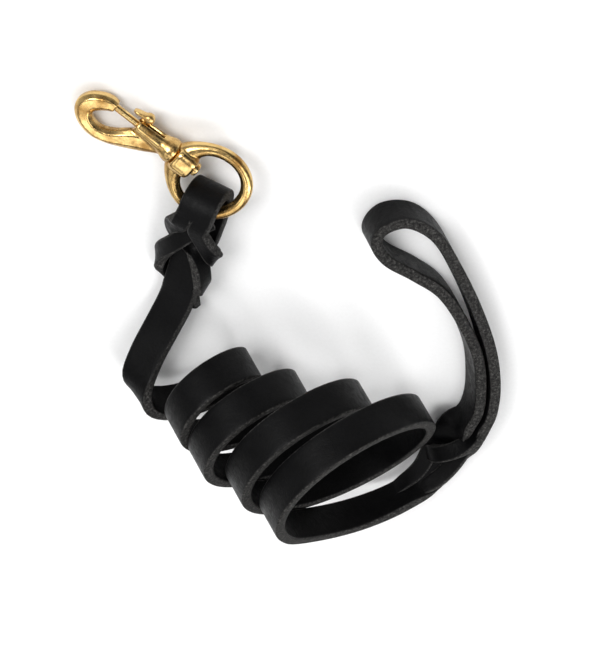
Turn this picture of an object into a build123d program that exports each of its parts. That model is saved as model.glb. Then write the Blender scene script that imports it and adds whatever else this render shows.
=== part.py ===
"""Braided leather training leash with a brass bolt snap, lying loosely coiled.

Units are millimetres, +Z is up and the floor is Z = 0.  The origin is on the floor,
below the middle of the snap and the handle.
"""
from build123d import *
from math import ceil, cos, floor, pi, radians, sin, tan
import os

# ---------------------------------------------------------------- driving sizes
STRAP_WIDTH = 15.0
STRAP_THICKNESS = 4.8
HALF_THICKNESS = STRAP_THICKNESS / 2

# Origin of the part, in the table positions below: the middle of the snap and the handle.
ORIGIN_X = -0.6
ORIGIN_Y = 19.3

# Snap: the bolt, barrel and swivel share one axis, X of the snap plane.
SNAP_CENTRE = (-35.1, 81.0, 12.0)
SNAP_AXIS = (0.762, -0.632, 0.142)
SNAP_SIDE = (0.653, 0.757, 0.0)
EYE_RADIUS = 14.7
EYE_WIRE_RADIUS = 2.25
BOSS_RADIUS = 4.9
BOSS_BACK = -17.3
BOSS_FRONT = -8.2
BOSS_BEVEL = 0.8
STEM_RADIUS = 1.9
STEM_DEPTH = 2.6
STEM_HEAD_RADIUS = 2.9
STEM_HEAD_HEIGHT = 1.7
STEM_HEAD_GAP = 0.3
STEM_HEAD_ROUNDING = 0.55
RUNNING_CLEARANCE = 0.06
AXIAL_CLEARANCE = 0.4
BARREL_FRONT = -36.2
BARREL_REAR = BOSS_BACK - AXIAL_CLEARANCE
BARREL_FRONT_RADIUS = 3.3
BARREL_REAR_RADIUS = 4.1
COLLAR_RADIUS = 5.1
COLLAR_LENGTH = 3.3
COLLAR_ROUNDING = 0.6
BOLT_RADIUS = 1.45
NOSE_FACE = -46.5
SOCKET_DEPTH = 1.0
BOLT_TIP_DEPTH = 0.8
BOLT_TRAVEL = 8.0
BOLT_REAR = -32.2
BORE_END = -20.8
STUD_X = -34.2
STUD_SHANK_RADIUS = 1.05
STUD_HEAD_RADIUS = 2.1
STUD_REACH = 5.9
STUD_TILT = 12.0
STUD_HOLE_DEPTH = 1.0
SLOT_CLEARANCE = 0.4
OVERCUT = 1.0
SPRING_WIRE_RADIUS = 0.2
SPRING_TURNS = 7
HOOK_HALF_HEIGHT = 3.0
HOOK_EDGE_RADIUS = 1.6
# Hook outline in the snap plane: outside from the barrel round to the nose, then inside.
HOOK_OUTSIDE = (
    (-23.5, -3.4),
    (-27.0, -6.4),
    (-31.4, -9.6),
    (-36.2, -12.6),
    (-41.0, -14.9),
    (-45.8, -16.1),
    (-50.8, -15.8),
    (-55.4, -13.2),
    (-58.8, -9.6),
    (-59.7, -6.6),
    (-58.8, -3.6),
    (-56.2, -0.8),
    (-52.6, 1.9),
    (-49.6, 3.0),
    (NOSE_FACE, 2.7),
)
HOOK_INSIDE = (
    (NOSE_FACE, -2.3),
    (-49.4, -4.4),
    (-52.0, -7.2),
    (-50.4, -9.7),
    (-46.2, -10.2),
    (-42.0, -8.6),
    (-39.2, -6.0),
    (BARREL_FRONT, -2.6),
)

# Eye fold: the strap's end turned round the eye's wire.
FOLD_BAR_ANGLE = -61.0
FOLD_WIDTH_DIR = (0.88, -0.23, 0.41)
FOLD_CAVITY_RADIUS = 5.7
FOLD_NOSE = 3.2
FOLD_TAIL = -14.0
FOLD_TAIL_HALF = 5.2
FOLD_END_LENGTH = 1.0
FOLD_SLIT_GAP = 3.0
FOLD_SLIT_RADIUS = 0.6

# Coil: turn centres on the table and turn radii, one a turn, counted at mid turn.
COIL_AXIS_AZIMUTH = -42.7
COIL_AXIS_ELEVATION = 49.4
TURN_CENTRE_X = (-34.3, -19.5, 2.2, 21.6)
TURN_CENTRE_Y = (-19.6, -31.8, -37.5, -46.9)
TURN_RADIUS = (20.2, 27.2, 34.2, 40.2)
FIRST_TURN_MIDDLE = 0.25
LOOP_ASPECT = 1.1
LOOP_PHASE = -38.0
LOOP_LIFT = 0.5
COIL_START = -0.12
COIL_END = 3.58
STATIONS_PER_TURN = 24

# Strap routes that aren't coiled: section spacing, arcs' share of the shorter run beside them,
# then table points and the strap's width direction at each.
ROUTE_SPACING = 5.0
ARC_SHARE = 0.45
LEAD_ROUTE = (
    (-50.5, 19.0, 6.5),
    (-57.5, 5.0, 8.0),
    (-64.5, -7.0, 12.5),
    (-69.0, -18.0, 18.0),
    (-64.5, -30.0, 15.5),
    (-50.5, -34.0, 10.2),
)
LEAD_WIDTH_DIRS = (
    (0.82, -0.25, 0.51),
    (0.78, -0.30, 0.55),
    (0.70, -0.36, 0.62),
    (0.60, -0.42, 0.69),
    (0.50, -0.44, 0.75),
    (0.48, -0.44, 0.76),
)
RUN_ROUTE = (
    (18.4, -93.0, 20.0),
    (37.5, -92.0, 11.5),
    (50.0, -84.5, 8.6),
    (59.5, -75.0, 8.1),
)
RUN_WIDTH_DIRS = (
    (0.42, -0.35, 0.83),
    (0.34, -0.20, 0.92),
    (0.28, -0.10, 0.95),
    (0.26, 0.00, 0.966),
)

# Handle: the strap stands on its edge, leaning a little; foot line on the floor.
HANDLE_LEAN = (0.26, 0.0, 0.966)
HANDLE_FOOT = (
    (74.6, -47.0),
    (77.9, -38.0),
    (78.6, -22.0),
    (75.6, -2.4),
    (68.3, 19.6),
    (59.3, 39.9),
    (51.1, 54.6),
    (41.0, 61.6),
    (30.8, 59.6),
    (26.9, 51.6),
    (32.6, 42.6),
    (44.0, 35.2),
    (55.2, 25.9),
    (64.9, 8.7),
    (70.6, -7.0),
    (72.6, -22.9),
    (72.2, -36.0),
    (69.0, -45.1),
)

# Braids: width over the strap's, depth and lift at three places along each.
BRAID_SWELL = (1.28, 1.14, 1.28)
BRAID_DEPTH = (11.4, 10.6, 11.4)
SNAP_BRAID_LIFT = (1.0, 1.8, 1.8)
HANDLE_BRAID_LIFT = (3.0, 3.4, 3.4)
JOIN_GAP = 0.5
BRAID_EDGE_RADIUS = 2.4

os.makedirs("parts", exist_ok=True)


# ---------------------------------------------------------------- helpers
def table(x, y, z):
    """Move a table position into the part's frame."""
    return Vector(x - ORIGIN_X, y - ORIGIN_Y, z)


def section_plane(centre, width_dir, tangent):
    """Plane across the strap: X along its width, Z along its run."""
    across = Vector(*width_dir) - tangent * Vector(*width_dir).dot(tangent)
    return Plane(origin=centre, x_dir=across.normalized(), z_dir=tangent)


def strap_sections(stations, first_plane=None, last_plane=None):
    """Section planes along a strap whose stations are (centre, width direction)."""
    planes = []
    for index, (centre, width_dir) in enumerate(stations):
        before = stations[max(index - 1, 0)][0]
        after = stations[min(index + 1, len(stations) - 1)][0]
        planes.append(section_plane(centre, width_dir, (after - before).normalized()))
    if first_plane is not None:
        planes[0] = first_plane
    if last_plane is not None:
        planes[-1] = last_plane
    return planes


def strap_solid(planes):
    """One closed stretch of strap through its section planes."""
    with BuildPart() as strap:
        for plane in planes:
            with BuildSketch(plane):
                Rectangle(STRAP_WIDTH, STRAP_THICKNESS)
        loft(ruled=True)
    return strap.part


def save(solid, name):
    solid.label = name
    export_step(solid, f"parts/{name}.step")


def tangent_radii(points):
    """Radii of tangent arcs that fit the runs of a route."""
    radii = []
    for a, b, c in zip(points, points[1:], points[2:]):
        turn = radians((b - a).get_angle(c - b))
        shorter = min((b - a).length, (c - b).length)
        radii.append(ARC_SHARE * shorter / tan(turn / 2))
    return radii


def route_stations(points, width_dirs):
    """Stations along a route of straight runs joined by tangent arcs."""
    with BuildLine() as line:
        FilletPolyline(*points, radius=tangent_radii(points))
    wire = line.wire()
    marks = [0.0]
    for a, b in zip(points, points[1:]):
        marks.append(marks[-1] + (b - a).length)
    count = ceil(wire.length / ROUTE_SPACING)
    stations = []
    for index in range(count + 1):
        share = index / count
        mark = share * marks[-1]
        leg = max(i for i in range(len(points) - 1) if marks[i] <= mark + 1e-9)
        blend = (mark - marks[leg]) / (marks[leg + 1] - marks[leg])
        start, end = Vector(*width_dirs[leg]), Vector(*width_dirs[leg + 1])
        stations.append((wire @ share, start * (1 - blend) + end * blend))
    return stations


# ---------------------------------------------------------------- strap coil
azimuth = radians(COIL_AXIS_AZIMUTH)
elevation = radians(COIL_AXIS_ELEVATION)
coil_axis = Vector(cos(elevation) * cos(azimuth), cos(elevation) * sin(azimuth), sin(elevation))
loop_level = Vector(-sin(azimuth), cos(azimuth), 0)
loop_rise = (Vector(0, 0, 1) - coil_axis * coil_axis.Z).normalized()


def between_turns(values, turn):
    """Smooth value at a turn count, from one value a turn, straight past the ends."""
    place = turn - FIRST_TURN_MIDDLE
    if place <= 0:
        return values[0] + (values[1] - values[0]) * place
    if place >= len(values) - 1:
        return values[-1] + (values[-1] - values[-2]) * (place - len(values) + 1)
    padded = (2 * values[0] - values[1], *values, 2 * values[-1] - values[-2])
    index = floor(place)
    t = place - index
    p0, p1, p2, p3 = padded[index : index + 4]
    bend = 2 * p0 - 5 * p1 + 4 * p2 - p3
    twist = 3 * p1 - p0 - 3 * p2 + p3
    return (2 * p1 + (p2 - p0) * t + bend * t**2 + twist * t**3) / 2


def coil_point(turn):
    """Middle of the strap at a turn count; every loop's low side is on the floor."""
    radius = between_turns(TURN_RADIUS, turn)
    height = loop_rise.Z * (LOOP_ASPECT * radius + HALF_THICKNESS)
    height += coil_axis.Z * STRAP_WIDTH / 2 + LOOP_LIFT
    centre = table(
        between_turns(TURN_CENTRE_X, turn), between_turns(TURN_CENTRE_Y, turn), height
    )
    angle = radians(LOOP_PHASE) + 2 * pi * turn
    level = loop_level * (radius * cos(angle))
    rise = loop_rise * (LOOP_ASPECT * radius * sin(angle))
    return centre + level + rise


coil_count = round((COIL_END - COIL_START) * STATIONS_PER_TURN)
coil_turns = [
    COIL_START + (COIL_END - COIL_START) * index / coil_count
    for index in range(coil_count + 1)
]
coil_stations = [(coil_point(turn), tuple(coil_axis)) for turn in coil_turns]
coil_sections = strap_sections(coil_stations)
strap_coil = strap_solid(coil_sections)
save(strap_coil, "strap_coil")

# ---------------------------------------------------------------- strap lead and run
lead_points = [table(*point) for point in LEAD_ROUTE] + [coil_stations[0][0]]
lead_dirs = LEAD_WIDTH_DIRS + (tuple(coil_axis),)
lead_stations = route_stations(lead_points, lead_dirs)
lead_sections = strap_sections(lead_stations, last_plane=coil_sections[0])
strap_lead = strap_solid(lead_sections)
save(strap_lead, "strap_lead")

run_points = [coil_stations[-1][0]] + [table(*point) for point in RUN_ROUTE]
run_dirs = (tuple(coil_axis),) + RUN_WIDTH_DIRS
run_stations = route_stations(run_points, run_dirs)
run_sections = strap_sections(run_stations, first_plane=coil_sections[-1])
strap_run = strap_solid(run_sections)
save(strap_run, "strap_run")

# ---------------------------------------------------------------- handle loop
handle_foot = [table(x, y, 0) for x, y in HANDLE_FOOT]
with BuildPart() as handle_loop:
    with BuildSketch():
        with BuildLine():
            Spline(*handle_foot)
        trace(line_width=STRAP_THICKNESS)
    extrude(amount=STRAP_WIDTH, dir=HANDLE_LEAN)
save(handle_loop.part, "handle_loop")

# ---------------------------------------------------------------- snap and fold planes
snap_origin = table(*SNAP_CENTRE)
snap_x = Vector(*SNAP_AXIS).normalized()
snap_y = Vector(*SNAP_SIDE)
snap_y = (snap_y - snap_x * snap_x.dot(snap_y)).normalized()
snap_plane = Plane(origin=snap_origin, x_dir=snap_x, z_dir=snap_x.cross(snap_y))
snap_axis = Axis(snap_origin, snap_x)


def snap_point(x, y=0.0, z=0.0):
    return snap_plane.from_local_coords(Vector(x, y, z))


def across_snap(x):
    """Plane square to the bolt's axis, facing the eye, at a distance along it."""
    return Plane(origin=snap_point(x), x_dir=snap_y, z_dir=snap_x)


bar_angle = radians(FOLD_BAR_ANGLE)
bar_centre = snap_point(EYE_RADIUS * cos(bar_angle), EYE_RADIUS * sin(bar_angle))
braid_start_plane = lead_sections[0]
strap_back = bar_centre - braid_start_plane.origin
fold_width = Vector(*FOLD_WIDTH_DIR).normalized()
fold_back = (strap_back - fold_width * strap_back.dot(fold_width)).normalized()
fold_plane = Plane(origin=bar_centre, x_dir=fold_back, z_dir=fold_width)

# ---------------------------------------------------------------- eye fold
with BuildPart() as eye_fold:
    with BuildSketch(fold_plane):
        with Locations((FOLD_NOSE, 0)):
            Circle(FOLD_CAVITY_RADIUS + STRAP_THICKNESS)
        with Locations((FOLD_TAIL + FOLD_END_LENGTH / 2, 0)):
            Rectangle(FOLD_END_LENGTH, 2 * FOLD_TAIL_HALF)
        make_hull()
    extrude(amount=STRAP_WIDTH / 2, both=True)
    with BuildSketch(fold_plane):
        with Locations((FOLD_NOSE, 0)):
            Circle(FOLD_CAVITY_RADIUS)
        with Locations((-FOLD_CAVITY_RADIUS / 2, 0)):
            Circle(FOLD_CAVITY_RADIUS)
        with Locations((FOLD_TAIL + FOLD_SLIT_GAP, 0)):
            Circle(FOLD_SLIT_RADIUS)
        make_hull()
    extrude(amount=STRAP_WIDTH, both=True, mode=Mode.SUBTRACT)
save(eye_fold.part, "eye_fold")


# ---------------------------------------------------------------- braids
def strap_corners(depth):
    """Corners of a section as wide as the strap, in its own plane."""
    half_width = STRAP_WIDTH / 2
    half_depth = depth / 2
    return [
        (-half_width, -half_depth),
        (half_width, -half_depth),
        (half_width, half_depth),
        (-half_width, half_depth),
    ]


def braid_solid(start, start_corners, end, end_corners, lifts):
    """Lumpy closed body of a braid between two sections."""
    shares = [(index + 1) / (len(BRAID_SWELL) + 1) for index in range(len(BRAID_SWELL))]
    run = (end.origin - start.origin).normalized()
    with BuildPart() as braid:
        with BuildSketch(start):
            Polygon(*start_corners, align=None)
        for share, swell, depth, lift in zip(shares, BRAID_SWELL, BRAID_DEPTH, lifts):
            centre = start.origin + (end.origin - start.origin) * share + Vector(0, 0, lift)
            width_dir = start.x_dir * (1 - share) + end.x_dir * share
            with BuildSketch(section_plane(centre, tuple(width_dir), run)):
                RectangleRounded(STRAP_WIDTH * swell, depth, BRAID_EDGE_RADIUS)
        with BuildSketch(end):
            Polygon(*end_corners, align=None)
        loft(ruled=True)
    return braid.part


lead_start = lead_sections[0]
fold_end = Plane(
    origin=bar_centre + fold_back * FOLD_TAIL, x_dir=fold_width, z_dir=-fold_back
)
snap_end_braid = braid_solid(
    fold_end,
    strap_corners(2 * FOLD_TAIL_HALF),
    lead_start,
    strap_corners(STRAP_THICKNESS),
    SNAP_BRAID_LIFT,
)
save(snap_end_braid, "snap_end_braid")

lean = Vector(*HANDLE_LEAN).normalized()
strand_gap = handle_foot[0] - handle_foot[-1]
strands_foot = (handle_foot[0] + handle_foot[-1]) / 2
strands_half = strand_gap.normalized() * (strand_gap.length + STRAP_THICKNESS) / 2
handle_end = Plane(
    origin=strands_foot + lean * STRAP_WIDTH / 2, x_dir=lean, z_dir=lean.cross(strand_gap)
)
strand_corners = [
    strands_foot - strands_half,
    strands_foot - strands_half + lean * STRAP_WIDTH,
    strands_foot + strands_half + lean * STRAP_WIDTH,
    strands_foot + strands_half,
]
handle_braid = braid_solid(
    run_sections[-1],
    strap_corners(STRAP_THICKNESS),
    handle_end.offset(-JOIN_GAP),
    [tuple(handle_end.to_local_coords(corner))[:2] for corner in strand_corners],
    HANDLE_BRAID_LIFT,
)
save(handle_braid, "handle_braid")

# ---------------------------------------------------------------- swivel eye
eye_section = Plane(origin=snap_origin, x_dir=snap_x, z_dir=snap_y)
with BuildPart() as swivel_eye:
    with BuildSketch(across_snap(BOSS_BACK)):
        Circle(BOSS_RADIUS)
    extrude(amount=BOSS_FRONT - BOSS_BACK)
    chamfer(swivel_eye.edges(), BOSS_BEVEL)
    with BuildSketch(eye_section):
        with Locations((EYE_RADIUS, 0)):
            Circle(EYE_WIRE_RADIUS)
    revolve(axis=Axis(snap_origin, snap_plane.z_dir))
    with BuildSketch(across_snap(BOSS_BACK)):
        Circle(STEM_RADIUS + RUNNING_CLEARANCE)
    extrude(amount=BOSS_FRONT - BOSS_BACK, mode=Mode.SUBTRACT)
save(swivel_eye.part, "swivel_eye")

# ---------------------------------------------------------------- swivel stem
stem_start = BARREL_REAR - STEM_DEPTH
head_start = BOSS_FRONT + STEM_HEAD_GAP
with BuildPart() as swivel_stem:
    with BuildSketch(across_snap(stem_start)):
        Circle(STEM_RADIUS)
    extrude(amount=head_start + STEM_HEAD_HEIGHT / 2 - stem_start)
    with BuildSketch(across_snap(head_start)):
        Circle(STEM_HEAD_RADIUS)
    extrude(amount=STEM_HEAD_HEIGHT)
    rim = swivel_stem.faces().sort_by(snap_axis)[-1].edges()
    fillet(rim, STEM_HEAD_HEIGHT * STEM_HEAD_ROUNDING)
save(swivel_stem.part, "swivel_stem")

# ---------------------------------------------------------------- hook and barrel
stud_dir = snap_y * cos(radians(STUD_TILT)) + snap_plane.z_dir * sin(radians(STUD_TILT))
stud_plane = Plane(origin=snap_origin, x_dir=snap_x, z_dir=stud_dir)
collar_front = BARREL_REAR - COLLAR_LENGTH
barrel_profile = (
    (BARREL_FRONT, 0),
    (BARREL_FRONT, BARREL_FRONT_RADIUS),
    (collar_front - COLLAR_LENGTH / 2, BARREL_REAR_RADIUS),
    (collar_front, COLLAR_RADIUS - COLLAR_ROUNDING / 2),
    (BARREL_REAR - COLLAR_ROUNDING, COLLAR_RADIUS),
    (BARREL_REAR, COLLAR_RADIUS - COLLAR_ROUNDING),
    (BARREL_REAR, 0),
)
with BuildPart() as hook_body:
    with BuildSketch(snap_plane):
        with BuildLine():
            Spline(*HOOK_OUTSIDE)
            Line(HOOK_OUTSIDE[-1], HOOK_INSIDE[0])
            Spline(*HOOK_INSIDE)
            Polyline(HOOK_INSIDE[-1], (BARREL_FRONT, 0), (HOOK_OUTSIDE[0][0], 0), HOOK_OUTSIDE[0])
        make_face()
    extrude(amount=HOOK_HALF_HEIGHT, both=True)
    long_edges = hook_body.edges().filter_by(GeomType.BSPLINE)
    fillet(long_edges, HOOK_EDGE_RADIUS)
    with BuildSketch(snap_plane):
        with BuildLine():
            Polyline(*barrel_profile, close=True)
        make_face()
    revolve(axis=snap_axis)
    with BuildSketch(across_snap(BORE_END)):
        Circle(BOLT_RADIUS + RUNNING_CLEARANCE)
    extrude(amount=BARREL_FRONT - BORE_END - OVERCUT, mode=Mode.SUBTRACT)
    with BuildSketch(across_snap(NOSE_FACE - SOCKET_DEPTH)):
        Circle(BOLT_RADIUS + RUNNING_CLEARANCE)
    extrude(amount=SOCKET_DEPTH + OVERCUT, mode=Mode.SUBTRACT)
    with BuildSketch(across_snap(stem_start)):
        Circle(STEM_RADIUS)
    extrude(amount=STEM_DEPTH, mode=Mode.SUBTRACT)
    with BuildSketch(stud_plane):
        with Locations((STUD_X + BOLT_TRAVEL / 2, 0)):
            SlotCenterToCenter(BOLT_TRAVEL, 2 * STUD_SHANK_RADIUS + SLOT_CLEARANCE)
    extrude(amount=COLLAR_RADIUS, mode=Mode.SUBTRACT)
save(hook_body.part, "hook_body")

# ---------------------------------------------------------------- bolt, stud, spring
bolt_tip = NOSE_FACE - BOLT_TIP_DEPTH
with BuildPart() as bolt_pin:
    with BuildSketch(across_snap(bolt_tip)):
        Circle(BOLT_RADIUS)
    extrude(amount=BOLT_REAR - bolt_tip)
    with BuildSketch(stud_plane):
        with Locations((STUD_X, 0)):
            Circle(STUD_SHANK_RADIUS)
    extrude(amount=BOLT_RADIUS + STUD_HOLE_DEPTH, mode=Mode.SUBTRACT)
save(bolt_pin.part, "bolt_pin")

with BuildPart() as thumb_stud:
    with BuildSketch(stud_plane):
        with Locations((STUD_X, 0)):
            Circle(STUD_SHANK_RADIUS)
    extrude(amount=STUD_REACH)
    with Locations(Location(snap_point(STUD_X) + stud_dir * STUD_REACH)):
        Sphere(STUD_HEAD_RADIUS)
save(thumb_stud.part, "thumb_stud")

spring_length = BORE_END - BOLT_REAR - 4 * SPRING_WIRE_RADIUS
spring_radius = BOLT_RADIUS - SPRING_WIRE_RADIUS - RUNNING_CLEARANCE
spring_start = snap_point(BOLT_REAR + 2 * SPRING_WIRE_RADIUS)
with BuildPart() as bolt_spring:
    with BuildLine() as spring_line:
        Helix(
            pitch=spring_length / SPRING_TURNS,
            height=spring_length,
            radius=spring_radius,
            center=spring_start,
            direction=snap_x,
        )
    wire_section = Plane(origin=spring_line.wire() @ 0, z_dir=spring_line.wire() % 0)
    with BuildSketch(wire_section):
        Circle(SPRING_WIRE_RADIUS)
    sweep()
save(bolt_spring.part, "bolt_spring")
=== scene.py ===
"""Braided leather training leash with a brass bolt snap, as it looks."""

import bpy
import bmesh
from math import cos, exp, floor, pi, radians, sin
from mathutils import Matrix, Vector


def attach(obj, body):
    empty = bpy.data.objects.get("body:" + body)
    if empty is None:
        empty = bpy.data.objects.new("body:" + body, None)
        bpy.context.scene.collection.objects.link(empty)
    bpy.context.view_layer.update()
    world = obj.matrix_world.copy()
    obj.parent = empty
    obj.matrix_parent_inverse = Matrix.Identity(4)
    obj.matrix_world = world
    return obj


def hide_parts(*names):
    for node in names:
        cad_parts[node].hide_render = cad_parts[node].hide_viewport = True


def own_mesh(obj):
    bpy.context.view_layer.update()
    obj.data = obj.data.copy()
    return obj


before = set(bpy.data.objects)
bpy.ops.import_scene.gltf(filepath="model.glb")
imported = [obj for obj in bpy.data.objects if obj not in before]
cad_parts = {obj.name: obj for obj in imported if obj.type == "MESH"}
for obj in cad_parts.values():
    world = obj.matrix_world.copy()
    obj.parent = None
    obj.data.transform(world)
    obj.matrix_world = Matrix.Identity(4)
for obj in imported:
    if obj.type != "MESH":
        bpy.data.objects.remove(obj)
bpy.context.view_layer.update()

# ---------------------------------------------------------------- sizes, in metres
MM = 0.001
STRAP_WIDTH = 15.0 * MM
STRAP_THICKNESS = 4.8 * MM
BURNISH_RADIUS = 0.9 * MM

# Strap meshes: steps round a section and between the points of a route, and how far to the side
# of a route its width direction is read off.
STRAP_CORNER_STEPS = 4
STRAP_EDGE_STEPS = 4
STRAP_FACE_STEPS = 8
ROUTE_STEPS = 5
STRAND_STEPS = 6
HANDLE_STEPS = 10
PROBE = 10 * MM

# The pale cut edge starts this share of the burnish radius in from the side, and is full after
# this share of the half width.
EDGE_INSET = 0.75
EDGE_FADE = 0.06

# Table positions are measured from the spot that the camera looks at.  This is the row frame's
# zero point in table positions.
ORIGIN = Vector((-0.6, 19.3, 0.0)) * MM

# Coil: turn centres on the table and turn radii in mm, one a turn, counted at mid turn.
COIL_AXIS_AZIMUTH = radians(-42.7)
COIL_AXIS_ELEVATION = radians(49.4)
TURN_CENTRE_X = (-34.3, -19.5, 2.2, 21.6)
TURN_CENTRE_Y = (-19.6, -31.8, -37.5, -46.9)
TURN_RADIUS = (20.2, 27.2, 34.2, 40.2)
FIRST_TURN_MIDDLE = 0.25
LOOP_ASPECT = 1.1
LOOP_PHASE = radians(-38.0)
LOOP_LIFT = 0.5
COIL_START = -0.12
COIL_END = 3.58
STATIONS_PER_TURN = 24

# Snap: middle of its eye in table mm.  The bolt, barrel and swivel share one axis, X of the
# snap's own directions.
SNAP_CENTRE = (-35.1, 81.0, 12.0)
SNAP_AXIS = (0.762, -0.632, 0.142)
SNAP_SIDE = (0.653, 0.757, 0.0)
EYE_RADIUS = 14.7

# Cast pieces, in the snap's own directions, in mm.  How finely castings are melted together
# and smoothed, then the points round each turned section.
CAST_VOXEL = 0.34 * MM
CAST_SOFTENING = 0.5
CAST_SOFTENING_TIMES = 5
TURNED_POINTS = 32
STUD_POINTS = 24
RING_STEPS = 96
RING_WIRE_POINTS = 20
SPRING_WIRE_POINTS = 8
ARM_STEPS = 6

# Hook arm stations from the barrel round to the nose: (x, y, half width in the hook's plane,
# half height).  Turned outlines: (x, radius).
HOOK_ARM = (
    (-20.5, -1.5, 1.9, 1.6),
    (-24.5, -2.9, 2.6, 1.8),
    (-28.5, -4.2, 3.7, 2.0),
    (-33.4, -6.3, 4.3, 2.3),
    (-38.0, -9.6, 3.6, 2.7),
    (-42.1, -12.0, 3.1, 3.0),
    (-46.3, -13.2, 3.0, 3.0),
    (-50.5, -12.8, 3.1, 3.0),
    (-54.0, -10.8, 3.4, 3.0),
    (-55.9, -7.6, 3.8, 3.0),
    (-55.0, -4.4, 3.9, 3.0),
    (-52.4, -1.9, 3.6, 3.0),
    (-49.6, -0.3, 3.2, 2.9),
    (-47.4, 0.2, 2.7, 2.7),
    (-46.5, 0.3, 2.3, 2.3),
)
BARREL_OUTLINE = (
    (-36.2, 2.9),
    (-35.7, 3.3),
    (-29.0, 3.5),
    (-24.5, 3.8),
    (-22.6, 4.3),
    (-21.0, 5.0),
    (-19.4, 5.25),
    (-18.2, 5.05),
    (-17.7, 4.4),
)

# Holes on the snap's axis, as (start, end, radius), and the stud's slot in the barrel.
BORE = (-37.0, -20.8, 1.55)
SOCKET = (-47.5, -45.0, 1.55)
STEM_HOLE = (-20.3, -5.0, 1.96)
SLOT_FRONT, SLOT_REAR, SLOT_HALF = -37.0, -24.8, 1.3
SLOT_REACH = 7.0

# Thumb stud on its own axis: (reach from the bolt's axis, radius), and its tab's stations.
STUD_TILT = radians(12.0)
STUD_X = -34.2
STUD_OUTLINE = ((0.5, 1.0), (3.6, 1.0), (4.2, 1.6), (5.2, 2.2), (6.3, 2.3), (7.3, 1.8), (8.0, 0.7))
THUMB_TAB = (
    (-40.8, 4.6, 0.5, 1.2),
    (-39.6, 4.8, 0.8, 1.8),
    (-37.2, 5.2, 1.1, 2.0),
    (-34.2, 5.7, 1.3, 2.0),
    (-32.0, 5.5, 0.8, 1.4),
)
THUMB_TAB_LIFT = 1.2

# Eye's boss, turned, then flattened toward four sides.
BOSS_OUTLINE = (
    (-17.3, 4.3),
    (-16.7, 5.0),
    (-15.4, 5.3),
    (-10.4, 5.3),
    (-8.9, 4.9),
    (-8.2, 3.7),
)
BOSS_SQUARENESS = 3.4

# Eye's wire as (half width, half height); how much thicker it is beside the boss and over what
# angle; how much the ring is flattened and on which side.
EYE_WIRE = (2.5, 2.3)
EYE_SHOULDER = 1.05
EYE_SHOULDER_HEIGHT = 0.7
EYE_SHOULDER_SPREAD = radians(32.0)
EYE_FLAT = 0.09
EYE_FLAT_TOWARD = radians(105.0)

# Return spring: where it sits along the axis at rest.
SPRING_SPAN = (-31.8, -21.2)
SPRING_RADIUS = 1.19
SPRING_WIRE = 0.2
SPRING_TURNS = 7
SPRING_STEPS = 24

# Section of a cast bar, as shares of its half width and half height: flats with cut corners.
BEVELLED = (
    (1.0, 0.42),
    (0.52, 1.0),
    (-0.52, 1.0),
    (-1.0, 0.42),
    (-1.0, -0.42),
    (-0.52, -1.0),
    (0.52, -1.0),
    (1.0, -0.42),
)

# Eye fold: where it goes round the eye, and its width direction.
FOLD_BAR_ANGLE = radians(-61.0)
FOLD_WIDTH_DIR = (0.88, -0.23, 0.41)

# Handle: the strap stands on its edge, leaning a little; foot line on the floor, in mm.
HANDLE_LEAN = (0.26, 0.0, 0.966)
HANDLE_FOOT = (
    (74.6, -47.0),
    (77.9, -38.0),
    (78.6, -22.0),
    (75.6, -2.4),
    (68.3, 19.6),
    (59.3, 39.9),
    (51.1, 54.6),
    (41.0, 61.6),
    (30.8, 59.6),
    (26.9, 51.6),
    (32.6, 42.6),
    (44.0, 35.2),
    (55.2, 25.9),
    (64.9, 8.7),
    (70.6, -7.0),
    (72.6, -22.9),
    (72.2, -36.0),
    (69.0, -45.1),
)

# Strap routes that aren't coiled: table points in mm and the strap's width direction there.
LEAD_ROUTE = (
    (-50.5, 19.0, 6.5),
    (-57.5, 5.0, 8.0),
    (-64.5, -7.0, 12.5),
    (-69.0, -18.0, 18.0),
    (-64.5, -30.0, 15.5),
    (-50.5, -34.0, 10.2),
)
LEAD_WIDTH_DIRS = (
    (0.82, -0.25, 0.51),
    (0.78, -0.30, 0.55),
    (0.70, -0.36, 0.62),
    (0.60, -0.42, 0.69),
    (0.50, -0.44, 0.75),
    (0.48, -0.44, 0.76),
)
RUN_ROUTE = (
    (18.4, -93.0, 20.0),
    (37.5, -92.0, 11.5),
    (50.0, -84.5, 9.6),
)
RUN_WIDTH_DIRS = (
    (0.42, -0.35, 0.83),
    (0.34, -0.20, 0.92),
    (0.36, -0.14, 0.92),
)

# Where the strap's two ends run on inside the braids, as (across, along, out) in mm.
LEAD_TUCK = ((0.0, 30.0, -0.8), (0.0, 20.0, 0.0), (0.0, 9.0, 0.5))
RUN_TUCK = ((-0.5, -4.5, 1.0), (0.5, 2.0, -0.8), (1.5, 10.0, -1.0), (1.5, 17.0, -1.0))

# Eye fold's centre line from its forked end round the nose, as (across, along, out) in mm.
FOLD_FRONT = ((-1.2, -1.8, 7.7), (-0.8, 1.0, 8.2))
FOLD_NOSE = 3.2
FOLD_RADIUS = 8.4
FOLD_BACK = ((0.0, -1.0, -8.2), (0.0, -6.0, -6.9), (0.0, -11.0, -4.6), (0.0, -15.0, -3.2))
FOLD_TUCK = ((0.0, 34.0, -2.2), (0.0, 30.5, -1.4))
FORK = ((0.0, 5.8, 7.5), (-0.4, 2.2, 8.8), (-1.4, -0.8, 8.75), (-2.0, -3.2, 8.2))

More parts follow.
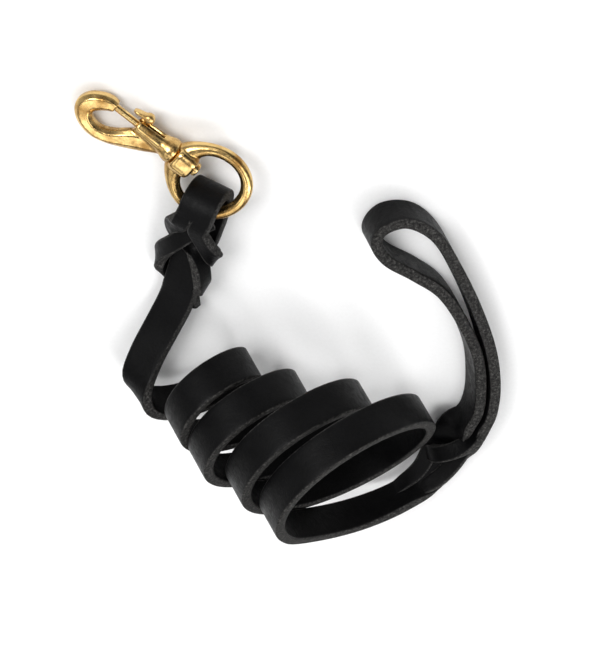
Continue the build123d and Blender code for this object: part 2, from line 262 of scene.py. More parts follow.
# Half straps of a braid: size, how far their middles are from the whole strap's in mm, then
# each centre line as (across, along, out) in mm and the tilt of the face toward +across in
# degrees.
STRAND_WIDTH = 7.6 * MM
STRAND_THICKNESS = 4.4 * MM
STRAND_OFFSET = {"left": -STRAP_WIDTH / MM / 4, "right": STRAP_WIDTH / MM / 4}
STRANDS = {
    "left": (
        (-8.2, 42.6, 5.8, -10),
        (-9.9, 38.6, 4.0, -28),
        (-8.6, 34.4, 1.6, -25),
        (-4.6, 32.4, 0.8, -5),
        (-0.4, 32.2, 1.0, 20),
        (3.0, 31.0, 2.6, 58),
        (6.4, 27.2, 3.6, 72),
        (8.4, 22.4, 3.6, 80),
        (9.4, 17.4, 2.4, 88),
        (8.6, 12.8, 0.0, 98),
        (4.6, 9.6, -3.2, 140),
    ),
    "right": (
        (4.4, 43.6, 7.0, -6),
        (6.8, 40.2, 5.8, -8),
        (9.4, 36.0, 3.8, 15),
        (9.8, 31.4, 0.2, 75),
        (7.0, 28.4, -2.6, 125),
        (2.0, 25.0, -4.2, 170),
        (-4.0, 20.0, -4.0, 180),
    ),
    "middle": (
        (4.2, 48.6, 0.6, 0),
        (2.4, 47.0, 2.2, 0),
        (-0.2, 43.4, 4.4, -2),
        (-3.2, 38.2, 5.8, -6),
        (-6.4, 32.4, 6.2, -12),
        (-9.8, 26.4, 5.0, -24),
        (-11.8, 20.0, 3.0, -48),
        (-10.4, 13.6, 0.5, -90),
        (-6.5, 10.0, -2.4, -140),
        (-1.0, 7.0, -3.6, -175),
        (3.5, 3.0, -3.3, -180),
        (5.6, -2.0, -2.7, -180),
    ),
}

# Handle braid: its own directions, then the legs' ends and the strands, each control with
# (across, along, out) in mm and the tilt of the face toward +across in degrees.
HANDLE_BRAID_START = (59.5, -75.0, 6.0)
HANDLE_BRAID_ALONG = (0.391, 0.920, -0.027)
HANDLE_BRAID_ACROSS = (0.885, -0.367, 0.287)
OUTER_LEG_TUCK = ((1.0, 8.0, -0.9, 0), (3.0, 16.0, 0.3, -15), (5.0, 25.0, 1.9, -45))
INNER_LEG_TUCK = ((-2.4, 25.5, 3.4, -18), (-2.0, 19.5, 2.2, -8), (-1.2, 14.0, -1.3, 0))
HANDLE_STRANDS = {
    "over": (
        (7.4, 40.0, 4.2, -59),
        (7.8, 33.0, 4.4, -57),
        (7.8, 27.0, 5.6, -50),
        (4.8, 21.5, 7.6, -38),
        (0.8, 16.0, 8.0, -30),
        (-3.0, 11.5, 6.5, -25),
        (-5.2, 8.5, 3.0, -20),
        (-6.5, 6.0, -1.0, -20),
    ),
    "left": (
        (-10.5, -20.0, 4.0, -59),
        (-8.6, -14.0, 3.0, -45),
        (-6.7, -8.0, 2.0, -25),
        (-5.6, -2.0, 1.4, -10),
        (-5.9, 4.0, 1.0, 0),
        (-6.6, 10.0, 0.6, 0),
        (-6.0, 16.0, -0.5, 5),
        (-4.0, 22.0, -1.0, 5),
    ),
    "right": (
        (-7.1, -20.0, 8.5, -59),
        (-3.5, -15.0, 6.5, -50),
        (0.0, -9.0, 4.5, -38),
        (3.2, -3.0, 2.6, -28),
        (5.3, 4.0, 1.2, -20),
        (6.3, 12.0, 0.2, -15),
        (6.0, 20.0, -1.0, -10),
        (4.0, 26.0, -2.0, 0),
    ),
}

# Colours, as linear RGB, at positions along the noise that picks them.
LEATHER_FACE = ((0.35, (0.0009, 0.0009, 0.0011)), (0.75, (0.0033, 0.0033, 0.0036)))
LEATHER_EDGE = (
    (0.40, (0.005, 0.005, 0.005)),
    (0.52, (0.030, 0.029, 0.028)),
    (0.66, (0.105, 0.102, 0.097)),
)
CAST_BRASS = ((0.42, (0.73, 0.50, 0.20)), (0.64, (0.36, 0.20, 0.06)))
TURNED_BRASS = ((0.42, (0.79, 0.57, 0.25)), (0.64, (0.50, 0.31, 0.11)))
DRAWN_STEEL = ((0.35, (0.28, 0.29, 0.30)), (0.7, (0.55, 0.56, 0.57)))
FLOOR_WHITE = ((0.3, (0.93, 0.93, 0.93)), (0.7, (0.96, 0.96, 0.96)))

# Metal of each CAD node that isn't leather.
NODE_METALS = {
    "hook_body": "cast_brass",
    "swivel_eye": "cast_brass",
    "swivel_stem": "turned_brass",
    "bolt_pin": "turned_brass",
    "thumb_stud": "turned_brass",
    "bolt_spring": "spring_steel",
}

# Surroundings: brightness by height, from below to overhead, uneven panels and where these
# start; then the lights, as (place, size, power), and the floor.
SKY_BY_HEIGHT = ((0.0, 0.50), (0.24, 0.50), (0.36, 0.10), (0.62, 0.65), (0.9, 1.25))
SKY_PANELS = ((0.41, 0.03), (0.48, 0.40), (0.54, 1.2), (0.61, 2.2))
PANEL_SCALE = 2.6
PANELS_FROM, PANELS_FULL = 0.28, 0.40
LIGHTS = {
    "key": ((-0.6, 0.8, 1.1), (0.7, 0.7), 13.0),
    "fill": ((0.7, -0.6, 0.9), (0.5, 0.9), 6.0),
}
FLOOR_REACH = 6.0


def table(x, y, z=0.0):
    """A table position in mm, in the row frame in metres."""
    return Vector((x, y, z)) * MM - ORIGIN


# ---------------------------------------------------------------- camera
CAMERA_ELEVATION = radians(52.0)
CAMERA_DISTANCE = 0.84
CAMERA_LENS = 110.8
CAMERA_SENSOR = 36.0


def make_camera():
    """Long lens from the +Y side, rolled so that the snap is at the top of the picture."""
    data = bpy.data.cameras.new("camera")
    data.lens = CAMERA_LENS
    data.sensor_width = CAMERA_SENSOR
    data.sensor_fit = "AUTO"
    data.clip_start = 0.01
    camera = bpy.data.objects.new("camera", data)
    bpy.context.scene.collection.objects.link(camera)
    back = Vector((0.0, cos(CAMERA_ELEVATION), sin(CAMERA_ELEVATION)))
    right = Vector((1.0, 0.0, 0.0))
    up = back.cross(right)
    camera.matrix_world = Matrix.Translation(table(0, 0) + back * CAMERA_DISTANCE) @ Matrix(
        (right, up, back)
    ).transposed().to_4x4()
    bpy.context.scene.camera = camera


make_camera()


# ---------------------------------------------------------------- mesh helpers
def link_mesh(name, vertices, faces):
    """A smooth-shaded mesh object."""
    mesh = bpy.data.meshes.new(name)
    mesh.from_pydata(vertices, [], faces)
    mesh.polygons.foreach_set("use_smooth", [True] * len(mesh.polygons))
    mesh.update()
    piece = bpy.data.objects.new(name, mesh)
    bpy.context.scene.collection.objects.link(piece)
    return piece


def strap_profile(width, thickness):
    """Outline of a strap: flat faces, cut edges and burnished corners, as (across, out)."""
    inner_w, inner_t = width / 2 - BURNISH_RADIUS, thickness / 2 - BURNISH_RADIUS
    corners = ((1, 1, 0), (-1, 1, 90), (-1, -1, 180), (1, -1, 270))
    rounded = []
    for side_w, side_t, start in corners:
        centre = Vector((side_w * inner_w, side_t * inner_t))
        arc = []
        for step in range(STRAP_CORNER_STEPS + 1):
            angle = radians(start + 90 * step / STRAP_CORNER_STEPS)
            arc.append(centre + BURNISH_RADIUS * Vector((cos(angle), sin(angle))))
        rounded.append(arc)
    points = []
    for index, arc in enumerate(rounded):
        end = rounded[(index + 1) % len(rounded)][0]
        steps = STRAP_EDGE_STEPS if index % 2 else STRAP_FACE_STEPS
        points += arc
        points += [arc[-1].lerp(end, step / steps) for step in range(1, steps)]
    return points


def smooth_route(points, steps):
    """Line along the NURBS curve whose control points are given."""
    data = bpy.data.curves.new("route", "CURVE")
    data.dimensions = "3D"
    spline = data.splines.new("NURBS")
    spline.points.add(len(points) - 1)
    for point, control in zip(spline.points, points):
        point.co = (*control, 1.0)
    spline.order_u = 3
    spline.use_endpoint_u = True
    spline.resolution_u = steps
    holder = bpy.data.objects.new("route", data)
    mesh = bpy.data.meshes.new_from_object(holder)
    line = [vertex.co.copy() for vertex in mesh.vertices]
    bpy.data.objects.remove(holder)
    bpy.data.curves.remove(data)
    bpy.data.meshes.remove(mesh)
    return line


def faced_route(points, directions, steps):
    """Smooth line of control points and the width direction all along it."""
    line = smooth_route(points, steps)
    beside = [point + direction * PROBE for point, direction in zip(points, directions)]
    width_dirs = [(b - a).normalized() for a, b in zip(line, smooth_route(beside, steps))]
    return line, width_dirs


def tangents_of(line):
    """Unit direction of a line at each of its points."""
    before = [line[0], *line[:-1]]
    after = [*line[1:], line[-1]]
    return [(b - a).normalized() for a, b in zip(before, after)]


def catmull_rom(p0, p1, p2, p3, t):
    """Smooth value between p1 and p2, numbers or points."""
    bend = 2 * p0 - 5 * p1 + 4 * p2 - p3
    twist = 3 * p1 - p0 - 3 * p2 + p3
    return (2 * p1 + (p2 - p0) * t + bend * t**2 + twist * t**3) / 2


def through_points(points, steps):
    """Smooth line that passes through every point."""
    padded = [2 * points[0] - points[1], *points, 2 * points[-1] - points[-2]]
    line = []
    for index in range(len(points) - 1):
        corners = padded[index : index + 4]
        line += [catmull_rom(*corners, step / steps) for step in range(steps)]
    return line + [points[-1]]


def shell(rings, closed=False):
    """Vertices and faces of a skin through rings of equal point count."""
    count = len(rings[0])
    vertices = [point for ring in rings for point in ring]
    faces = []
    for index in range(len(rings) if closed else len(rings) - 1):
        this, after = index * count, ((index + 1) % len(rings)) * count
        for step in range(count):
            following = (step + 1) % count
            faces.append((this + step, this + following, after + following, after + step))
    if not closed:
        faces.append(tuple(reversed(range(count))))
        faces.append(tuple(range(len(vertices) - count, len(vertices))))
    return vertices, faces


def swept_strap(name, line, width_dirs, profile):
    """A strap of one section along a line; its "edge" attribute is 1 on the cut edges."""
    rings = []
    for centre, tangent, width_dir in zip(line, tangents_of(line), width_dirs):
        across = (width_dir - tangent * tangent.dot(width_dir)).normalized()
        out = tangent.cross(across)
        rings.append([centre + across * point.x + out * point.y for point in profile])
    piece = link_mesh(name, *shell(rings))
    limit = max(point.x for point in profile) - BURNISH_RADIUS * EDGE_INSET
    fade = limit * EDGE_FADE
    edge = [min(max((abs(point.x) - limit) / fade, 0.0), 1.0) for point in profile]
    attribute = piece.data.attributes.new("edge", "FLOAT", "POINT")
    attribute.data.foreach_set("value", edge * len(line))
    return piece


# ---------------------------------------------------------------- materials
class Nodes:
    """Short way to build a node tree."""

    def __init__(self, tree):
        self.tree = tree

    def link(self, a, b):
        """Join an output socket to an input socket."""
        self.tree.links.new(a, b)

    def node(self, kind, settings=None, **inputs):
        """A shader node with its settings and its inputs, each a value or a socket."""
        made = self.tree.nodes.new("ShaderNode" + kind)
        for key, value in (settings or {}).items():
            setattr(made, key, value)
        for key, value in inputs.items():
            self.feed(made.inputs[key.replace("_", " ")], value)
        return made

    def feed(self, socket, value):
        """Give an input socket a value or another node's output."""
        if isinstance(value, bpy.types.NodeSocket):
            self.link(value, socket)
        else:
            socket.default_value = value

    def noise(self, place, scale, **inputs):
        """Uneven values between 0 and 1, finer for a larger scale."""
        return self.node("TexNoise", Vector=place, Scale=scale, **inputs).outputs["Fac"]

    def ramp(self, value, stops):
        """Colour from a value, by (position, colour) stops."""
        made = self.node("ValToRGB", Fac=value)
        elements = made.color_ramp.elements
        while len(elements) < len(stops):
            elements.new(0.5)
        for element, (position, colour) in zip(elements, stops):
            element.position = position
            element.color = (*colour, 1.0)
        return made.outputs["Color"]

    def spread(self, value, low, high, to_low, to_high):
        """Value moved from one range to another."""
        made = self.node("MapRange", Value=value)
        settings = (("From Min", low), ("From Max", high), ("To Min", to_low), ("To Max", to_high))
        for socket, number in settings:
            made.inputs[socket].default_value = number
        return made.outputs["Result"]

    def blend(self, share, a, b):
        """Value between a and b."""
        return self.node("Mix", {"data_type": "FLOAT"}, Factor=share, A=a, B=b).outputs[0]

    def math(self, operation, a, b):
        """Result of one arithmetic step."""
        made = self.node("Math", {"operation": operation})
        self.feed(made.inputs[0], a)
        self.feed(made.inputs[1], b)
        return made.outputs[0]


class MaterialNodes(Nodes):
    """Nodes of a new material round one principled shader."""

    def __init__(self, name):
        self.material = bpy.data.materials.new(name)
        self.material.use_nodes = True
        super().__init__(self.material.node_tree)
        self.tree.nodes.clear()
        self.shader = self.node("BsdfPrincipled")
        self.link(self.shader.outputs[0], self.node("OutputMaterial").inputs[0])
        self.place = self.node("TexCoord").outputs["Object"]

    def finish(self, colour, roughness, height, depth, strength):
        """Link colour, roughness and relief of this depth, and return the material."""
        self.link(colour, self.shader.inputs["Base Color"])
        self.link(roughness, self.shader.inputs["Roughness"])
        relief = self.node("Bump", Height=height, Distance=depth, Strength=strength)
        self.link(relief.outputs["Normal"], self.shader.inputs["Normal"])
        return self.material


def leather_material():
    """Black leather: waxed faces, paler fibrous cut edges and polished burnished corners."""
    nodes = MaterialNodes("leather")
    edge = nodes.node("Attribute", {"attribute_name": "edge"}).outputs["Fac"]
    grain = nodes.node("TexVoronoi", Vector=nodes.place, Scale=1500.0).outputs["Distance"]
    pores = nodes.noise(nodes.place, 2600.0, Detail=4.0)
    cloud = nodes.noise(nodes.place, 55.0, Detail=5.0)
    creases = nodes.noise(nodes.place, 240.0, Detail=8.0, Distortion=1.5)
    fibre = nodes.noise(nodes.place, 850.0, Detail=9.0, Roughness=0.8)

    face_colour = nodes.ramp(cloud, LEATHER_FACE)
    edge_colour = nodes.ramp(fibre, LEATHER_EDGE)
    colour = nodes.node("MixRGB", Fac=edge, Color1=face_colour, Color2=edge_colour).outputs[0]

    face_rough = nodes.spread(creases, 0.3, 0.7, 0.36, 0.56)
    edge_rough = nodes.spread(fibre, 0.3, 0.7, 0.62, 0.92)
    corner = nodes.math("MULTIPLY", edge, nodes.math("SUBTRACT", 1.0, edge))
    rough = nodes.math("SUBTRACT", nodes.blend(edge, face_rough, edge_rough), corner)
    nodes.shader.inputs["Specular IOR Level"].default_value = 0.10

    face_height = nodes.math("ADD", nodes.math("MULTIPLY", grain, 0.5), creases)
    face_height = nodes.math("ADD", face_height, nodes.math("MULTIPLY", pores, 0.3))
    return nodes.finish(colour, rough, nodes.blend(edge, face_height, fibre), 0.12 * MM, 0.9)


def brass_material(name, tarnish, scratch_stretch):
    """Polished brass with tarnish in patches, fine scratches and casting ripple."""
    nodes = MaterialNodes(name)
    patches = nodes.noise(nodes.place, 160.0, Detail=6.0)
    ripple = nodes.noise(nodes.place, 380.0, Detail=2.0)
    stretched = nodes.node("Mapping", Vector=nodes.place, Scale=scratch_stretch).outputs[0]
    scratches = nodes.noise(stretched, 900.0, Detail=6.0)
    nodes.shader.inputs["Metallic"].default_value = 1.0
    worn = nodes.math("ADD", nodes.math("MULTIPLY", scratches, 0.5), patches)
    rough = nodes.spread(worn, 0.5, 1.1, 0.15, 0.38)
    height = nodes.math("ADD", nodes.math("MULTIPLY", scratches, 0.06), ripple)
    return nodes.finish(nodes.ramp(patches, tarnish), rough, height, 0.12 * MM, 0.7)


def steel_material():
    """Drawn spring wire, slightly oily."""
    nodes = MaterialNodes("spring_steel")
    drawn = nodes.noise(nodes.place, 1400.0, Detail=5.0)
    nodes.shader.inputs["Metallic"].default_value = 1.0
    rough = nodes.spread(drawn, 0.3, 0.7, 0.22, 0.42)
    return nodes.finish(nodes.ramp(drawn, DRAWN_STEEL), rough, drawn, 0.02 * MM, 0.5)


def floor_material():
    """Matt white board with a faint tooth."""
    nodes = MaterialNodes("floor_board")
    tooth = nodes.noise(nodes.place, 700.0, Detail=4.0)
    rough = nodes.spread(tooth, 0.3, 0.7, 0.7, 0.85)
    return nodes.finish(nodes.ramp(tooth, FLOOR_WHITE), rough, tooth, 0.02 * MM, 0.3)


leather = leather_material()
board = floor_material()
metals = {
    "cast_brass": brass_material("cast_brass", CAST_BRASS, (1, 1, 1)),
    "turned_brass": brass_material("turned_brass", TURNED_BRASS, (1, 4, 1)),
    "spring_steel": steel_material(),
}
for node_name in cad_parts:
    for material_slot in bpy.data.objects[node_name].material_slots:
        material_slot.material = metals.get(NODE_METALS.get(node_name), leather)


# ---------------------------------------------------------------- braid frames
class BraidFrame:
    """Directions of a braid: u across the strap, v along the braid and w out of its face."""

    def __init__(self, start, end, width_dir):
        """From a start and an end in metres and a direction across the strap."""
        self.start = start
        self.v_dir = (end - start).normalized()
        self.u_dir = (width_dir - self.v_dir * width_dir.dot(self.v_dir)).normalized()
        self.w_dir = self.u_dir.cross(self.v_dir)

    def direction(self, u, v, w):
        """Direction with these shares across, along and out."""
        return self.u_dir * u + self.v_dir * v + self.w_dir * w

    def place(self, u, v, w):
        """Point in metres from (u, v, w) in mm."""
        return self.start + self.direction(u, v, w) * MM

    def facing(self, tilt):
        """Direction out of the braid's face, tilted toward +u by so many degrees."""
        return self.direction(sin(radians(tilt)), 0, cos(radians(tilt)))


snap_x = Vector(SNAP_AXIS).normalized()
snap_y = Vector(SNAP_SIDE)
snap_y = (snap_y - snap_x * snap_x.dot(snap_y)).normalized()
snap_z = snap_x.cross(snap_y)
snap_origin = table(*SNAP_CENTRE)
stud_up = snap_y * cos(STUD_TILT) + snap_z * sin(STUD_TILT)
stud_side = snap_x.cross(stud_up)


def snap_point(x, y=0.0, z=0.0):
    """A point in the snap's own directions, in mm from the middle of its eye."""
    return snap_origin + (snap_x * x + snap_y * y + snap_z * z) * MM


bar_centre = snap_point(EYE_RADIUS * cos(FOLD_BAR_ANGLE), EYE_RADIUS * sin(FOLD_BAR_ANGLE))
fold_width = Vector(FOLD_WIDTH_DIR).normalized()
lead_width = Vector(LEAD_WIDTH_DIRS[0]).normalized()
snap_braid = BraidFrame(table(*LEAD_ROUTE[0]), bar_centre, fold_width + lead_width)

fold_back = bar_centre - snap_braid.start
fold_back -= fold_width * fold_back.dot(fold_width)
fold = BraidFrame(bar_centre, bar_centre + fold_back, fold_width)

handle_lean = Vector(HANDLE_LEAN).normalized()
handle_start = table(*HANDLE_BRAID_START)
handle_braid = BraidFrame(
    handle_start, handle_start + Vector(HANDLE_BRAID_ALONG), Vector(HANDLE_BRAID_ACROSS)
)


# ---------------------------------------------------------------- the free strap
def between_turns(values, turn):
    """Smooth value at a turn count, from one value a turn, straight past the ends."""
    place = turn - FIRST_TURN_MIDDLE
    if place <= 0:
        return values[0] + (values[1] - values[0]) * place
    if place >= len(values) - 1:
        return values[-1] + (values[-1] - values[-2]) * (place - len(values) + 1)
    padded = (2 * values[0] - values[1], *values, 2 * values[-1] - values[-2])
    index = floor(place)
    return catmull_rom(*padded[index : index + 4], place - index)


coil_axis = Vector(
    (
        cos(COIL_AXIS_ELEVATION) * cos(COIL_AXIS_AZIMUTH),
        cos(COIL_AXIS_ELEVATION) * sin(COIL_AXIS_AZIMUTH),
        sin(COIL_AXIS_ELEVATION),
    )
)
loop_level = Vector((-sin(COIL_AXIS_AZIMUTH), cos(COIL_AXIS_AZIMUTH), 0.0))
loop_rise = (Vector((0, 0, 1)) - coil_axis * coil_axis.z).normalized()


def coil_point(turn):
    """Middle of the strap at a turn count; every loop's low side is just above the floor."""
    radius = between_turns(TURN_RADIUS, turn)
    height = loop_rise.z * (LOOP_ASPECT * radius + STRAP_THICKNESS / MM / 2)
    height += coil_axis.z * STRAP_WIDTH / MM / 2 + LOOP_LIFT
    centre = table(between_turns(TURN_CENTRE_X, turn), between_turns(TURN_CENTRE_Y, turn), height)
    angle = LOOP_PHASE + 2 * pi * turn
    level = loop_level * (radius * MM * cos(angle))
    return centre + level + loop_rise * (LOOP_ASPECT * radius * MM * sin(angle))


def strap_route():
    """Control points of the whole free strap and its width direction at each."""
    count = round((COIL_END - COIL_START) * STATIONS_PER_TURN)
    points = [snap_braid.place(*tuck) for tuck in LEAD_TUCK]
    directions = [snap_braid.u_dir] * len(LEAD_TUCK)
    points += [table(*point) for point in LEAD_ROUTE]
    directions += [Vector(direction) for direction in LEAD_WIDTH_DIRS]
    for index in range(count + 1):
        points.append(coil_point(COIL_START + (COIL_END - COIL_START) * index / count))
        directions.append(coil_axis)
    points += [table(*point) for point in RUN_ROUTE]
    directions += [Vector(direction) for direction in RUN_WIDTH_DIRS]
    points += [handle_braid.place(*tuck) for tuck in RUN_TUCK]
    directions += [handle_braid.u_dir] * len(RUN_TUCK)
    return points, [direction.normalized() for direction in directions]


def finish_strap(piece, *nodes):
    """Make a piece leather, on the leather body, in place of these nodes."""
    piece.data.materials.append(leather)
    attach(piece, "leather")
    if nodes:
        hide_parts(*nodes)


def make_free_strap():
    """Coiled strap between the two braids."""
    points, directions = strap_route()
    line, width_dirs = faced_route(points, directions, ROUTE_STEPS)
    strap = swept_strap("strap", line, width_dirs, strap_profile(STRAP_WIDTH, STRAP_THICKNESS))
    finish_strap(strap, "strap_lead", "strap_coil", "strap_run")


# ---------------------------------------------------------------- eye fold and braids
def make_eye_fold():
    """Strap from the fork on top, round the eye's wire and back under the strands."""
    nose = []
    for angle in range(0, 181, 30):
        up, front = cos(radians(angle)), sin(radians(angle))
        nose.append((0.0, FOLD_NOSE + FOLD_RADIUS * front, FOLD_RADIUS * up))
    points = [fold.place(*point) for point in (*FOLD_FRONT, *nose, *FOLD_BACK)]
    width_dirs = [fold.u_dir] * len(points)
    points += [snap_braid.place(*tuck) for tuck in FOLD_TUCK]
    width_dirs += [snap_braid.u_dir] * len(FOLD_TUCK)
    line, width_dirs = faced_route(points, width_dirs, STRAND_STEPS)
    profile = strap_profile(STRAP_WIDTH, STRAP_THICKNESS)
    finish_strap(swept_strap("eye_fold_strap", line, width_dirs, profile), "eye_fold")


def make_strand(name, braid, controls, nodes=(), start=(), start_dir=None):
    """A half strap laced through a braid, from points where it is still part of the strap."""
    points = list(start) + [braid.place(*control[:3]) for control in controls]
    width_dirs = [start_dir] * len(start)
    for tangent, control in zip(tangents_of(points)[len(start) :], controls):
        width_dirs.append(tangent.cross(braid.facing(control[3])).normalized())
    line, width_dirs = faced_route(points, width_dirs, STRAND_STEPS)
    profile = strap_profile(STRAND_WIDTH, STRAND_THICKNESS)
    finish_strap(swept_strap(name, line, width_dirs, profile), *nodes)


def make_snap_braid():
    """The fold's two halves and the strand that comes up between them."""
    for side in ("left", "right"):
        start = [fold.place(u + STRAND_OFFSET[side], v, w) for u, v, w in FORK]
        make_strand(
            f"snap_strand_{side}", snap_braid, STRANDS[side], start=start, start_dir=-fold.u_dir
        )
    make_strand("snap_strand_middle", snap_braid, STRANDS["middle"], ("snap_end_braid",))


def make_handle_braid():
    """Half straps over and under each other where the legs join the strap."""
    for name, controls in HANDLE_STRANDS.items():
        nodes = ("handle_braid",) if name == "over" else ()
        make_strand(f"handle_strand_{name}", handle_braid, controls, nodes)


def make_handle_loop():
    """Strap on its edge round the hand opening, with both legs running into the braid."""
    centres = []
    across_dirs = []
    feet = [table(*foot) for foot in HANDLE_FOOT]
    for foot, tangent in zip(feet, tangents_of(feet)):
        across = (handle_lean - tangent * handle_lean.dot(tangent)).normalized()
        out = tangent.cross(across)
        rise = (STRAP_WIDTH * across.z + STRAP_THICKNESS * abs(out.z)) / 2
        centres.append(foot + Vector((handle_lean.x * STRAP_WIDTH / 2, 0, rise)))
        across_dirs.append(across)
    outer, inner = len(OUTER_LEG_TUCK), len(INNER_LEG_TUCK)
    tucks = [*OUTER_LEG_TUCK, *INNER_LEG_TUCK]
    ends = [handle_braid.place(*tuck[:3]) for tuck in tucks]
    centres = ends[:outer] + centres + ends[outer:]
    tangents = tangents_of(centres)
    turned = [
        tangent.cross(handle_braid.facing(tuck[3])).normalized()
        for tangent, tuck in zip(tangents[:outer] + tangents[-inner:], tucks)
    ]
    turned = [-across if across.dot(handle_braid.u_dir) < 0 else across for across in turned]
    across_dirs = turned[:outer] + across_dirs + turned[outer:]
    line = through_points(centres, HANDLE_STEPS)
    widths = through_points(across_dirs, HANDLE_STEPS)
    profile = strap_profile(STRAP_WIDTH, STRAP_THICKNESS)
    finish_strap(swept_strap("handle_strap", line, widths, profile), "handle_loop")


# ---------------------------------------------------------------- cast brass pieces
def around(points):
    """Cosine and sine at equal steps round a circle."""
    angles = [2 * pi * step / points for step in range(points)]
    return [(cos(angle), sin(angle)) for angle in angles]


def turned_shell(outline, squareness=2.0):
    """Skin turned on the snap's axis; above 2, squareness flattens it toward four sides."""
    rings = []
    for x, radius in outline:
        ring = []
        for a, b in around(TURNED_POINTS):
            reach = radius * (abs(a) ** squareness + abs(b) ** squareness) ** (-1 / squareness)
            ring.append(snap_point(x, reach * a, reach * b))
        rings.append(ring)
    return shell(rings)


def arm_shell(stations, lift=0.0):
    """Bevelled bar in the snap's plane through (x, y, half width, half height) stations."""
    line = through_points([Vector(station) for station in stations], ARM_STEPS)
    centres = [station.xy for station in line]
    rings = []
    for centre, tangent, station in zip(centres, tangents_of(centres), line):
        side = Vector((-tangent.y, tangent.x))
        half_width, half_height = station[2:]
        ring = []
        for a, b in BEVELLED:
            place = centre + side * a * half_width
            ring.append(snap_point(place.x, place.y, lift + b * half_height))
        rings.append(ring)
    return shell(rings)


def stud_shell():
    """Thumb stud turned on its own tilted axis."""
    rings = []
    for reach, radius in STUD_OUTLINE:
        ring = []
        for a, b in around(STUD_POINTS):
            offset = (snap_x * a + stud_side * b) * radius
            ring.append(snap_point(STUD_X) + (stud_up * reach + offset) * MM)
        rings.append(ring)
    return shell(rings)


def ring_shell():
    """Eye's ring: flattened on one side, thicker where it leaves the boss."""
    half_width, half_height = EYE_WIRE
    rings = []
    for step in range(RING_STEPS):
        angle = 2 * pi * step / RING_STEPS
        toward_flat = max(0.0, cos(angle - EYE_FLAT_TOWARD))
        radius = EYE_RADIUS * (1 - EYE_FLAT * toward_flat**2)
        swell = EYE_SHOULDER * exp(-(((angle - pi) / EYE_SHOULDER_SPREAD) ** 2))
        ring = []
        for a, b in around(RING_WIRE_POINTS):
            reach = radius + half_width * (1 + swell) * a
            height = half_height * (1 + swell * EYE_SHOULDER_HEIGHT) * b
            ring.append(snap_point(reach * cos(angle), reach * sin(angle), height))
        rings.append(ring)
    return shell(rings, closed=True)


def slot_shell():
    """Cutter for the slot that the thumb stud runs in."""
    corners = (
        (SLOT_FRONT, -SLOT_HALF),
        (SLOT_REAR, -SLOT_HALF),
        (SLOT_REAR, SLOT_HALF),
        (SLOT_FRONT, SLOT_HALF),
    )
    rings = []
    for reach in (0.0, SLOT_REACH):
        ring = []
        for x, across in corners:
            ring.append(snap_point(x) + (stud_up * reach + stud_side * across) * MM)
        rings.append(ring)
    return shell(rings)


def evaluated(piece):
    """Mesh of an object with its modifiers in it."""
    graph = bpy.context.evaluated_depsgraph_get()
    return bpy.data.meshes.new_from_object(piece.evaluated_get(graph))


def outward(mesh):
    """Turn every shell's faces outward."""
    work = bmesh.new()
    work.from_mesh(mesh)
    bmesh.ops.recalc_face_normals(work, faces=work.faces)
    work.to_mesh(mesh)
    work.free()


def finish_metal(piece, body, node):
    """Give a piece its body and the metal of the node that it stands for."""
    slot = NODE_METALS[node]
    piece.data.materials.clear()
    piece.data.materials.append(metals[slot])
    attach(piece, body)
    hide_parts(node)


def cast_piece(name, shells, cutters, body, node):
    """One smooth casting: overlapping shells melted together, then cut."""
    vertices = []
    faces = []
    for shell_vertices, shell_faces in shells:
        offset = len(vertices)
        vertices += shell_vertices
        faces += [tuple(index + offset for index in face) for face in shell_faces]
    piece = link_mesh(name, vertices, faces)
    outward(piece.data)
    melt = piece.modifiers.new("melt", "REMESH")
    melt.mode = "VOXEL"
    melt.voxel_size = CAST_VOXEL
    soften = piece.modifiers.new("soften", "SMOOTH")
    soften.factor = CAST_SOFTENING
    soften.iterations = CAST_SOFTENING_TIMES
    tools = []
    for index, cutter in enumerate(cutters):
        tool = link_mesh(f"{name}_cutter_{index}", *cutter)
        outward(tool.data)
        tools.append(tool)
        drill = piece.modifiers.new("drill", "BOOLEAN")
        drill.operation = "DIFFERENCE"
        drill.object = tool
    piece.data = evaluated(piece)
    piece.modifiers.clear()
    for tool in tools:
        bpy.data.objects.remove(tool)
    piece.data.polygons.foreach_set("use_smooth", [True] * len(piece.data.polygons))
    finish_metal(piece, body, node)


def drilled(span):
    """Cutter along the snap's axis from (start, end, radius)."""
    start, end, radius = span
    return turned_shell(((start, radius), (end, radius)))


def make_spring():
    """Coiled wire between the bolt and the end of the bore."""
    start, end = SPRING_SPAN
    count = SPRING_TURNS * SPRING_STEPS
    radials = [snap_y * a + snap_z * b for a, b in around(SPRING_STEPS)] * SPRING_TURNS
    radials.append(radials[0])
    line = []
    for index, radial in enumerate(radials):
        middle = snap_point(start + (end - start) * index / count)
        line.append(middle + radial * (SPRING_RADIUS * MM))
    rings = []
    for centre, tangent, radial in zip(line, tangents_of(line), radials):
        across = tangent.cross(radial).normalized()
        section = [radial * a + across * b for a, b in around(SPRING_WIRE_POINTS)]
        rings.append([centre + offset * (SPRING_WIRE * MM) for offset in section])
    piece = link_mesh("return_spring", *shell(rings))
    outward(piece.data)
    finish_metal(piece, "snap", "bolt_spring")
    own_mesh(piece)


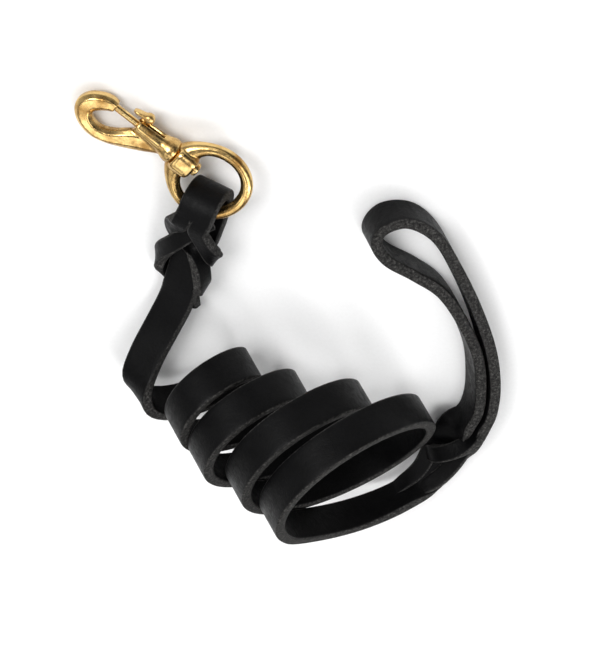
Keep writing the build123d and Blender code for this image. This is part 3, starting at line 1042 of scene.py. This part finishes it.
def make_cast_pieces():
    """Hook with its barrel, the swivel eye and the thumb stud."""
    hook = [arm_shell(HOOK_ARM), turned_shell(BARREL_OUTLINE)]
    hook_cuts = [drilled(SOCKET), drilled(BORE), drilled(STEM_HOLE), slot_shell()]
    cast_piece("hook", hook, hook_cuts, "snap", "hook_body")
    eye = [ring_shell(), turned_shell(BOSS_OUTLINE, BOSS_SQUARENESS)]
    cast_piece("eye_ring", eye, [drilled(STEM_HOLE)], "eye", "swivel_eye")
    stud = [stud_shell(), arm_shell(THUMB_TAB, THUMB_TAB_LIFT)]
    cast_piece("thumb_tab", stud, [], "bolt", "thumb_stud")


make_free_strap()
make_cast_pieces()
make_spring()
make_eye_fold()
make_snap_braid()
make_handle_braid()
make_handle_loop()


# ---------------------------------------------------------------- floor and light
def make_floor():
    """Pale floor that carries on past every view."""
    signs = ((-1, -1), (1, -1), (1, 1), (-1, 1))
    corners = [(FLOOR_REACH * x, FLOOR_REACH * y, 0) for x, y in signs]
    ground = link_mesh("ground", corners, [(0, 1, 2, 3)])
    ground.data.materials.append(board)


def area_light(name, place, size, power):
    """Rectangular light that points at the row frame's zero point."""
    data = bpy.data.lights.new(name, "AREA")
    data.shape = "RECTANGLE"
    data.size, data.size_y = size
    data.energy = power
    light = bpy.data.objects.new(name, data)
    bpy.context.scene.collection.objects.link(light)
    light.location = place
    light.rotation_mode = "QUATERNION"
    light.rotation_quaternion = (-Vector(place)).to_track_quat("-Z", "Y")


def greys(stops):
    """Ramp stops of grey from (position, brightness) pairs."""
    return [(position, (level, level, level)) for position, level in stops]


def make_world():
    """Soft studio: plain and pale low down, brighter overhead with uneven panels."""
    world = bpy.data.worlds.new("studio")
    world.use_nodes = True
    nodes = Nodes(world.node_tree)
    direction = nodes.node("TexCoord").outputs["Generated"]
    height = nodes.node("SeparateXYZ", Vector=direction).outputs["Z"]
    level = nodes.ramp(height, greys(SKY_BY_HEIGHT))
    panels = nodes.ramp(nodes.noise(direction, PANEL_SCALE, Detail=0.0), greys(SKY_PANELS))
    overhead = nodes.spread(height, PANELS_FROM, PANELS_FULL, 0.0, 1.0)
    mix = {"blend_type": "MULTIPLY"}
    sky = nodes.node("MixRGB", mix, Fac=overhead, Color1=level, Color2=panels).outputs[0]
    nodes.link(sky, world.node_tree.nodes["Background"].inputs["Color"])
    bpy.context.scene.world = world


make_floor()
make_world()
for light_name, light_settings in LIGHTS.items():
    area_light(light_name, *light_settings)
bpy.context.scene.view_settings.view_transform = "Standard"
